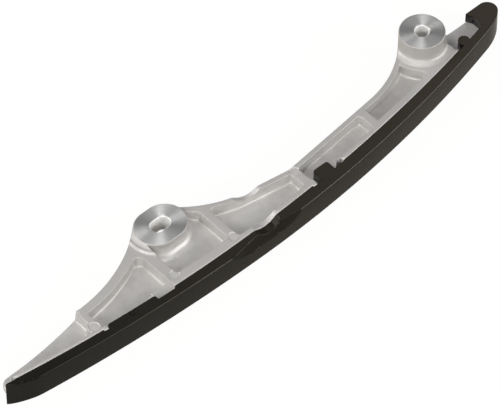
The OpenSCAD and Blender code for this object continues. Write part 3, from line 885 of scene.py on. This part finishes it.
def make_carrier():
    upper, lower = carrier_lines()
    rings = hole_rings(-HOLE_DRAFT)
    holes = [
        (lambda p: round_hole(p) + HOLE_DRAFT, rings[:1]),
        (lambda p: slot_hole(p) + HOLE_DRAFT, rings[1:]),
    ]
    return make_object("carrier_casting", [
        half(upper_carrier, domain, upper, EDGE_DRAFT, holes, False),
        half(lower_carrier, domain, lower, EDGE_DRAFT, holes, True),
    ])


# Shoe in plan

def arc_run(c, r, a0, a1, n):
    return [c + r * below(a) for a in np.linspace(a0, a1, n + 1)]


def bar_loop():
    """Outline of the bar: the sliding face from tail to nose, then back behind the carrier's front edge."""
    face = arc_run(TAIL_CURL_C, TAIL_CURL_R, TAIL_CURL_END, TAIL_CURL_A, TAIL_CURL_STEPS)
    face += arc_run(TAIL_FACE_C, TAIL_FACE_R, TAIL_CURL_A, 0.0, FACE_STEPS)[1:]
    face += arc_run(HEAD_FACE_C, HEAD_FACE_R, 0.0, HEAD_CURL_A, FACE_STEPS)[1:]
    face += arc_run(HEAD_CURL_C, HEAD_CURL_R, HEAD_CURL_A, NOSE_START, HEAD_CURL_STEPS)[1:]
    face += arc_run(NOSE_C, NOSE_R, NOSE_START, math.pi, NOSE_STEPS)[1:]
    return face + [np.array([TONGUE_X + GAP, CAP_BACK]), ORIGIN, TAIL_CURL_C]


BAR_LOOP = bar_loop()


def bar_inside(p):
    """The bar in front of the carrier, with a notch for each tab."""
    cut = np.maximum(front_disc(p, -GAP), p[..., 0] - TONGUE_X - GAP)
    for x0, x1 in TABS:
        notch = np.maximum(front_disc(p, -TAB_D - GAP), between(p, x0 - GAP, x1 + GAP))
        cut = np.minimum(cut, notch)
    return np.maximum(polygon(p, BAR_LOOP), -cut)


def clip_loops():
    x0, x1 = LONG_CLIP
    back = run(lambda x: front_at(x, LONG_CLIP_D), x0, x1)
    long_clip = [(x0, float(front_at(x0, -LAP))), back[0] + (LONG_CLIP_R,)] + back[2:-2] + [
        back[-1] + (LONG_CLIP_R,), (x1, float(front_at(x1, -LAP)))]
    x0, x1 = SQUARE_CLIP
    y = float(front_at((x0 + x1) / 2, SQUARE_CLIP_D))
    square_clip = [
        (x0, float(front_at(x0, -LAP))), (x0, y, SQUARE_CLIP_R), (x1, y, SQUARE_CLIP_R),
        (x1, float(front_at(x1, -LAP)))]
    wall_x, end_x = CAP_X + CAP_SET, TONGUE_X + GAP + LAP
    cap = [
        (CAP_X, CAP_BACK), (end_x, CAP_BACK), (end_x, float(front_at(end_x, -LAP))),
        (wall_x, float(front_at(wall_x, -LAP))), (wall_x, CAP_BACK - 2 * CAP_SET)]
    return [rounded(k) for k in (long_clip, square_clip, cap)]


CLIP_LOOPS = clip_loops()
ROUND_CLIP_C = np.array([ROUND_CLIP_X, float(front_at(ROUND_CLIP_X, ROUND_CLIP_BACK))])


def shoe_inside(p):
    d = np.minimum(bar_inside(p), circle(p, ROUND_CLIP_C, ROUND_CLIP_R))
    for loop in CLIP_LOOPS:
        d = np.minimum(d, polygon(p, loop))
    return d


# Shoe in height

SHOE_BASE = WEB_HI + GAP
FACE_BEVEL = 0.45
LOWER_EDGE_R = 1.2
BACK_EDGE_R = 0.35
SHOE_DRAFT = 0.03
SCOOP_BLEND = 0.1
RIDGE = 0.16
RIDGE_FLAT = 0.8 * RIDGE
RIDGE_END = SLOT_X + 29.0
RIDGE_FADE = 3.0
SCOOP_ROUNDING = 0.8
SCOOP_FLOOR = 0.5
GATE_C = np.array([SLOT_X - 41.4, -28.0])
GATE_R = 1.6
GATE_D = 0.15
GATE_SLOPE = 0.25
ON_EDGE = 0.03

# Mesh lines under the wider rounding at the scoop, along the bevel and its two ends, and along the roundings
WIDE_LEVELS = (1.2, 1.7, 2.4)
BEVEL_LEVELS = [FACE_BEVEL * k for k in (0.0, 0.12, 0.88, 1.0)]
UPPER_LEVELS = [0.0] + sorted(-SHOE_DRAFT - k for k in set(BEVEL_LEVELS + arc_levels(BACK_EDGE_R)))
LOWER_ARCS = arc_levels(LOWER_EDGE_R) + arc_levels(BACK_EDGE_R)
LOWER_LEVELS = [0.0] + sorted(-SHOE_DRAFT - k for k in set(LOWER_ARCS))
SHOE_BOX = (-275.0, -40.0, 46.0, 6.0)

shoe_plan = Region(shoe_inside, *SHOE_BOX)
bar_plan = Region(bar_inside, *SHOE_BOX)


def shoe_half(p, s, top, front_r):
    """Half of the shoe at distance s inside its outline, with a wider rounding along the sliding face."""
    near_face = smooth_step((front_disc(p) - SHOE_T / 4) / (SHOE_T / 2))
    r = BACK_EDGE_R + (front_r - BACK_EDGE_R) * near_face
    return rim_edge(top, s, SHOE_BASE, r, SHOE_DRAFT)


def upper_shoe(p):
    top = np.minimum(GUIDE_W, groove_height(p))
    d = circle(p, SCOOP_C, SCOOP_R)
    ridge = RIDGE * smooth_step((RIDGE_END - p[..., 0]) / RIDGE_FADE)
    scoop = GUIDE_W + np.minimum(d * SCOOP_H / SCOOP_D, d - ridge)
    top = np.maximum(smooth_min(top, scoop, SCOOP_BLEND), SHOE_BASE + SCOOP_FLOOR)
    top = top - GATE_D * smooth_step(-circle(p, GATE_C, GATE_R) / GATE_SLOPE)
    cut = np.maximum(GUIDE_W - top, 0.0)
    s = -snap(shoe_plan.distance(p), UPPER_LEVELS)
    z = shoe_half(p, s, top, FACE_BEVEL + SCOOP_ROUNDING * cut)
    bevel = top - np.clip(FACE_BEVEL + SHOE_DRAFT - s, 0.0, FACE_BEVEL)
    bevelled = (front_disc(p) > SHOE_T / 2) & (cut < GAP) & (s >= SHOE_DRAFT)
    return np.where(bevelled, bevel, z)


def lower_shoe(p):
    s = -snap(shoe_plan.distance(p), LOWER_LEVELS)
    return GUIDE_W - shoe_half(p, s, np.full(p.shape[:-1], GUIDE_W), LOWER_EDGE_R)


def link_between(loop, a, b):
    """Points of a closed loop between two points on it, the shorter way round."""
    points = loop[:-1]
    n = len(points)
    i = int(np.hypot(*(points - a).T).argmin())
    j = int(np.hypot(*(points - b).T).argmin())
    ahead = [k % n for k in range(i + 1, i + (j - i) % n)]
    behind = [k % n for k in range(i - 1, i - (i - j) % n, -1)]
    return points[min(ahead, behind, key=len)]


def below_clips(loop):
    """The bar's own outline below the clips, and the plan of each clip's underside."""
    points = loop[:-1]
    off = np.abs(bar_plan.distance(points)) > ON_EDGE
    start = int(np.flatnonzero(~off & np.roll(off, 1))[0])
    points, off = np.roll(points, -start, axis=0), np.roll(off, -start)
    outline, undersides = [], []
    i = 0
    while i < len(points):
        if not off[i]:
            outline.append(points[i])
            i += 1
            continue
        j = i
        while j < len(points) and off[j]:
            j += 1
        a, b = points[i - 1], points[j % len(points)]
        link = link_between(bar_plan.loops[0], a, b)
        outline += list(link)
        undersides.append(np.concatenate([points[i - 1:j], [b], link[::-1], [a]]))
        i = j
    return np.array(outline), undersides


def strip(outline, low, high):
    """Upright wall along a closed outline."""
    n = len(outline)
    x, y = outline.T
    area = (x * np.roll(y, -1) - np.roll(x, -1) * y).sum()
    i = np.arange(n)
    j = (i + 1) % n
    faces = np.concatenate([np.stack([i, j, j + n], -1), np.stack([i, j + n, i + n], -1)])
    heights = np.repeat([low, high], n)
    return np.concatenate([outline, outline]), heights, faces if area > 0 else faces[:, ::-1]


def underside(loop, z, flip):
    verts, faces = triangulate([loop])
    faces = faces[polygon(verts[faces].mean(1), loop[:-1]) < 0]
    return verts, np.full(len(verts), z), faces[:, ::-1] if flip else faces


def make_shoe():
    lower = [line for k in LOWER_LEVELS if k for line in shoe_plan.lines(k)]
    upper = [line for k in UPPER_LEVELS if k for line in shoe_plan.lines(k)] + groove_lines()
    for k in WIDE_LEVELS:
        upper += shoe_plan.lines(-k)
    for k in [*np.linspace(-SCOOP_D, -RIDGE, SCOOP_ROWS), -RIDGE_FLAT, RIDGE_FLAT, RIDGE]:
        arc = ring(SCOOP_C, SCOOP_R + k, 0.0, SCOOP_STEPS)
        upper.append(arc[(arc[:, 1] > SCOOP_C[1]) & (np.abs(arc[:, 0] - SCOOP_X) < SCOOP_W)][::-1])
    upper += [ring(GATE_C, GATE_R - k, 0.0, GATE_STEPS) for k in (0.0, GATE_SLOPE / 2, GATE_SLOPE)]
    base = GUIDE_W - SHOE_BASE
    outline, undersides = below_clips(shoe_plan.loops[0])
    parts = [
        half(upper_shoe, shoe_plan, upper, SHOE_DRAFT, [], False),
        half(lower_shoe, shoe_plan, lower, SHOE_DRAFT, [], True),
        strip(outline, base, SHOE_BASE),
    ]
    for loop in undersides:
        parts += [underside(loop, SHOE_BASE, True), underside(loop, base, False)]
    return make_object("shoe_moulding", parts)


carrier = make_carrier()
shoe = make_shoe()
for piece, node, slot in ((carrier, "carrier", "cast_aluminium"), (shoe, "guide_shoe", "shoe_nylon")):
    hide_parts(node)
    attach(piece, "root")


# Materials. Each pair of tones is the darkest and the lightest, as linear red, green and blue.

CAST_TONES = ((0.54, 0.523, 0.506), (0.665, 0.65, 0.634))
TURNED_TONES = ((0.68, 0.675, 0.67), (0.78, 0.775, 0.77))
# Bored metal with painted light: the walls of the holes are made nearly white
BORED_AND_PAINTED_LIGHT_TONES = ((0.84, 0.83, 0.81), (0.92, 0.91, 0.89))
NYLON_TONES = ((0.004, 0.0042, 0.0034), (0.034, 0.028, 0.021))
NYLON_TINT = (1.0, 0.94, 0.84, 1.0)
FLOOR_TONE = (0.62, 0.59, 0.54, 1.0)
WHITE = (1.0, 1.0, 1.0, 1.0)
SKIN_SHARE = 0.55
# Painted shade on the tops of the rims, taken off the tone of the cast skin
RIM_PAINTED_SHADE = 0.3
# Painted light on the shoe: its share at the head, and on upright faces at their top edge
HEAD_PAINTED_LIGHT = 0.9
UPPER_EDGE_PAINTED_LIGHT = 0.1
STREAKS = 0.1
NOISE_RANGE = (0.3, 0.7)
LEVEL = 0.9999


def add(tree, kind, inputs=None, **settings):
    """A new node with its settings. An input is a value, or the socket to link to it."""
    node = tree.nodes.new(kind)
    for key, value in settings.items():
        setattr(node, key, value)
    for key, value in (inputs or {}).items():
        if isinstance(value, bpy.types.NodeSocket):
            tree.links.new(value, node.inputs[key])
        else:
            node.inputs[key].default_value = value
    return node


def calc(tree, operation, a, b=0.0):
    return add(tree, "ShaderNodeMath", {0: a, 1: b}, operation=operation).outputs[0]


def noise(tree, where, scale, detail=2.0):
    node = add(tree, "ShaderNodeTexNoise", {"Vector": where, "Scale": scale, "Detail": detail})
    return node.outputs[0]


def remap(tree, value, from_low, from_high, low, high):
    node = add(tree, "ShaderNodeMapRange", {0: value, 1: from_low, 2: from_high, 3: low, 4: high})
    return node.outputs[0]


def spread(tree, value, low, high):
    """Noise about one half, mapped to run from low to high."""
    return remap(tree, value, *NOISE_RANGE, low, high)


def blend(tree, factor, low, high):
    node = add(tree, "ShaderNodeMix", {0: factor}, data_type="RGBA")
    node.inputs[6].default_value = (*low, 1)
    node.inputs[7].default_value = (*high, 1)
    return node.outputs[2]


def bump(tree, height, strength, distance):
    node = add(tree, "ShaderNodeBump", {"Strength": strength, "Distance": distance, "Height": height})
    return node.outputs[0]


def new_material(name, metallic):
    m = bpy.data.materials.new(name)
    m.use_nodes = True
    shader = m.node_tree.nodes["Principled BSDF"]
    shader.inputs["Metallic"].default_value = metallic
    return m, m.node_tree, shader


def feed(tree, shader, **sockets):
    for name, value in sockets.items():
        tree.links.new(value, shader.inputs[name.replace("_", " ")])


def cast_aluminium():
    """Mottled grey skin with a fine grain, and painted shade that makes the tops of the rims a little darker.
    """
    m, tree, shader = new_material("cast_aluminium", metallic=0.5)
    where = add(tree, "ShaderNodeTexCoord").outputs["Object"]
    skin = noise(tree, where, scale=240.0, detail=3.0)
    stain = noise(tree, where, scale=40.0)
    z = add(tree, "ShaderNodeSeparateXYZ", {0: where}).outputs[2]
    # Painted shade: faces above the foot of the rims' edge rounding are made darker.
    rim = calc(tree, "GREATER_THAN", z, (GUIDE_W - SEAT_Z - RIM_R) * MM)
    skin = calc(tree, "MULTIPLY", skin, SKIN_SHARE)
    tone = calc(tree, "ADD", skin, calc(tree, "MULTIPLY", stain, 1 - SKIN_SHARE))
    tone = calc(tree, "SUBTRACT", tone, calc(tree, "MULTIPLY", rim, RIM_PAINTED_SHADE))
    feed(
        tree, shader,
        Base_Color=blend(tree, spread(tree, tone, 0.0, 1.0), *CAST_TONES),
        Roughness=spread(tree, noise(tree, where, scale=90.0), 0.44, 0.54),
        Normal=bump(tree, noise(tree, where, scale=800.0, detail=5.0), strength=0.5, distance=0.2 * MM))
    return m


def machined_aluminium():
    """Turned faces: fine rings about the axis of each boss spread the light across them."""
    m, tree, shader = new_material("machined_aluminium", metallic=1.0)
    where = add(tree, "ShaderNodeTexCoord").outputs["Object"]
    xyz = add(tree, "ShaderNodeSeparateXYZ", {0: where})
    at_slot = calc(tree, "LESS_THAN", xyz.outputs[0], SLOT_X / 2 * MM)
    dx = calc(tree, "SUBTRACT", xyz.outputs[0], calc(tree, "MULTIPLY", at_slot, SLOT_X * MM))
    out = add(tree, "ShaderNodeCombineXYZ", {0: dx, 1: xyz.outputs[1]}).outputs[0]
    r = add(tree, "ShaderNodeVectorMath", {0: out}, operation="LENGTH").outputs["Value"]
    radial = add(tree, "ShaderNodeVectorMath", {0: out}, operation="NORMALIZE").outputs[0]
    rings = add(tree, "ShaderNodeTexNoise", {"W": r, "Scale": 1700.0, "Detail": 4.0}, noise_dimensions="1D")
    rings = rings.outputs[0]
    shader.inputs["Anisotropic"].default_value = 0.82
    feed(
        tree, shader,
        Base_Color=blend(tree, spread(tree, rings, 0.0, 1.0), *TURNED_TONES),
        Roughness=spread(tree, rings, 0.40, 0.48),
        Normal=bump(tree, rings, strength=0.15, distance=0.04 * MM),
        Tangent=radial)
    return m


def bored_aluminium():
    """Walls and chamfers of the two holes: bright bored metal, made nearly white by painted light."""
    m, tree, shader = new_material("bored_aluminium", metallic=0.25)
    where = add(tree, "ShaderNodeTexCoord").outputs["Object"]
    tone = spread(tree, noise(tree, where, scale=700.0, detail=3.0), 0.0, 1.0)
    # Painted light: nearly white tones on the walls and chamfers of the holes.
    feed(
        tree, shader,
        Base_Color=blend(tree, tone, *BORED_AND_PAINTED_LIGHT_TONES),
        Roughness=spread(tree, noise(tree, where, scale=300.0), 0.3, 0.4))
    return m


def shoe_nylon():
    """Black at the tail, with painted light that makes it browner towards the head, on faces that look up, and
    on upright faces towards their lower edge.
    """
    m, tree, shader = new_material("shoe_nylon", metallic=0.0)
    shader.inputs["Specular IOR Level"].default_value = 0.16
    shader.inputs["Specular Tint"].default_value = NYLON_TINT
    where = add(tree, "ShaderNodeTexCoord").outputs["Object"]
    x, _, z = add(tree, "ShaderNodeSeparateXYZ", {0: where}).outputs
    # Painted light: faces that look up get the full share.
    facing = add(tree, "ShaderNodeNewGeometry").outputs["Normal"]
    level = add(tree, "ShaderNodeSeparateXYZ", {0: facing}).outputs[2]
    low, high = -SEAT_Z * MM, (GUIDE_W - SEAT_Z) * MM
    # Painted light, lighter towards the head and, on upright faces, towards their lower edge. The streaks are
    # the nylon's own random tone.
    along = remap(tree, x, TIP_X * MM, TONGUE_X * MM, 0.0, HEAD_PAINTED_LIGHT)
    painted_light_to_lower_edge = remap(tree, z, low, high, 1.0, UPPER_EDGE_PAINTED_LIGHT)
    streaks = calc(tree, "MULTIPLY", noise(tree, where, scale=60.0, detail=3.0), STREAKS)
    tone = calc(tree, "ADD", calc(tree, "MULTIPLY", along, calc(tree, "MAXIMUM", level, painted_light_to_lower_edge)), streaks)
    feed(
        tree, shader,
        Base_Color=blend(tree, tone, *NYLON_TONES),
        Roughness=spread(tree, noise(tree, where, scale=110.0), 0.18, 0.24),
        Normal=bump(tree, noise(tree, where, scale=900.0), strength=0.1, distance=0.03 * MM))
    return m


CAST, TURNED, BORED = range(3)


def machined_faces(obj):
    """Marks the tops of the bosses and the seats under them, and the walls of the holes."""
    n = len(obj.data.polygons)
    centre, normal = np.empty(3 * n), np.empty(3 * n)
    obj.data.polygons.foreach_get("center", centre)
    obj.data.polygons.foreach_get("normal", normal)
    p = centre.reshape(n, 3) / MM
    z = p[:, 2] + SEAT_Z
    level = np.abs(normal.reshape(n, 3)[:, 2]) > LEVEL
    on_slot_boss = (np.abs(z - LOWER_TOP) < GAP) & (obround(p[:, :2], SLOT_C, BOSS_RUN, SLOT_BOSS_R) < 0)
    machined = level & ((z > UPPER_TOP - GAP) | on_slot_boss | (np.abs(z - SEAT_Z) < GAP / 10))
    in_hole = np.minimum(round_hole(p[:, :2]), slot_hole(p[:, :2])) < UNDER_CHAMFER
    index = np.where(in_hole & ~level, BORED, np.where(machined, TURNED, CAST))
    obj.data.polygons.foreach_set("material_index", index.astype(np.int32))


for material in (cast_aluminium, machined_aluminium, bored_aluminium):
    carrier.data.materials.append(material())
machined_faces(carrier)
shoe.data.materials.append(shoe_nylon())

# Camera, floor and light, in metres. The camera is fitted to the photo.

CAM_AT = Vector((-1.0330, -1.0114, 1.6537))
CAM_AIM = Vector((0.4274, 0.4674, -0.7738))
LENS = 338.4
SENSOR = 36.0
VIEW_DEPTH = 20.0
CENTRE = Vector((-0.12, -0.012, 0.0))
FLOOR_SIZE = 8.0
FLOOR_GAP = 0.05 * MM
FLOOR_GLOW = 0.9
FLOOR_WHITE = 1.05
ROOM_TONE = (1.0, 0.99, 0.97, 1.0)
ROOM_LIGHT = 0.03
BOX_SIZE = 0.9
BOX_DISTANCE = 2.0
STRIP_SIZE = (2.0, 0.25)
STRIP_ROLL = -23.0

scene = bpy.context.scene
camera = bpy.data.objects.new("camera", bpy.data.cameras.new("camera"))
scene.collection.objects.link(camera)
scene.camera = camera
camera.location = CAM_AT
camera.rotation_euler = CAM_AIM.to_track_quat("-Z", "Y").to_euler()
camera.data.sensor_width = SENSOR
camera.data.lens = LENS
camera.data.clip_end = VIEW_DEPTH

BACK = Vector((CAM_AIM.x, CAM_AIM.y, 0.0)).normalized()
RIGHT = Vector((BACK.y, -BACK.x, 0.0))
UP = Vector((0.0, 0.0, 1.0))


def softbox(name, turn, rise, power, size=(BOX_SIZE, BOX_SIZE), roll=0.0):
    """A soft light. Its turn is counted from the camera's side towards the left of the picture."""
    a, e = math.radians(turn), math.radians(rise)
    towards = (-RIGHT * math.sin(a) - BACK * math.cos(a)) * math.cos(e) + UP * math.sin(e)
    light = bpy.data.lights.new(name, "AREA")
    light.shape = "ELLIPSE"
    light.size, light.size_y = size
    light.energy = power
    obj = bpy.data.objects.new(name, light)
    scene.collection.objects.link(obj)
    obj.location = CENTRE + towards * BOX_DISTANCE
    facing = (-towards).to_track_quat("-Z", "Y") @ Quaternion((0, 0, 1), math.radians(roll))
    obj.rotation_euler = facing.to_euler()


def make_floor():
    """A pale floor that takes the shadow. The camera sees it nearly white."""
    mesh = bpy.data.meshes.new("floor")
    k = FLOOR_SIZE / 2
    z = -SEAT_Z * MM - FLOOR_GAP
    mesh.from_pydata([(-k, -k, z), (k, -k, z), (k, k, z), (-k, k, z)], [], [(0, 1, 2, 3)])
    obj = bpy.data.objects.new("floor", mesh)
    scene.collection.objects.link(obj)
    m = bpy.data.materials.new("floor")
    m.use_nodes = True
    tree = m.node_tree
    tree.nodes.clear()
    white = add(tree, "ShaderNodeBsdfDiffuse", {"Color": FLOOR_TONE}).outputs[0]
    glow = add(tree, "ShaderNodeEmission", {"Color": WHITE, "Strength": FLOOR_WHITE}).outputs[0]
    seen = add(tree, "ShaderNodeLightPath").outputs["Is Camera Ray"]
    share = calc(tree, "MULTIPLY", seen, FLOOR_GLOW)
    mixed = add(tree, "ShaderNodeMixShader", {0: share, 1: white, 2: glow}).outputs[0]
    add(tree, "ShaderNodeOutputMaterial", {"Surface": mixed})
    mesh.materials.append(m)


def make_world():
    """A dim room that the camera sees as white."""
    world = bpy.data.worlds.new("world")
    scene.world = world
    world.use_nodes = True
    tree = world.node_tree
    tree.nodes.clear()
    room = add(tree, "ShaderNodeBackground", {"Color": ROOM_TONE, "Strength": ROOM_LIGHT}).outputs[0]
    white = add(tree, "ShaderNodeBackground", {"Color": WHITE, "Strength": 1.0}).outputs[0]
    seen = add(tree, "ShaderNodeLightPath").outputs["Is Camera Ray"]
    mixed = add(tree, "ShaderNodeMixShader", {0: seen, 1: room, 2: white}).outputs[0]
    add(tree, "ShaderNodeOutputWorld", {"Surface": mixed})


make_floor()
make_world()
softbox("overhead", turn=0.0, rise=85.0, power=11.0)
softbox("front", turn=0.0, rise=28.0, power=13.0)
softbox("front_left", turn=45.0, rise=30.0, power=12.0)
softbox("left", turn=90.0, rise=25.0, power=12.0)
softbox("right", turn=-90.0, rise=21.0, power=16.0, size=STRIP_SIZE, roll=STRIP_ROLL)
softbox("front_right", turn=-62.0, rise=33.0, power=8.0)
softbox("left_back", turn=120.0, rise=48.0, power=6.0)
softbox("back", turn=180.0, rise=50.0, power=1.2)
scene.view_settings.view_transform = "Standard"
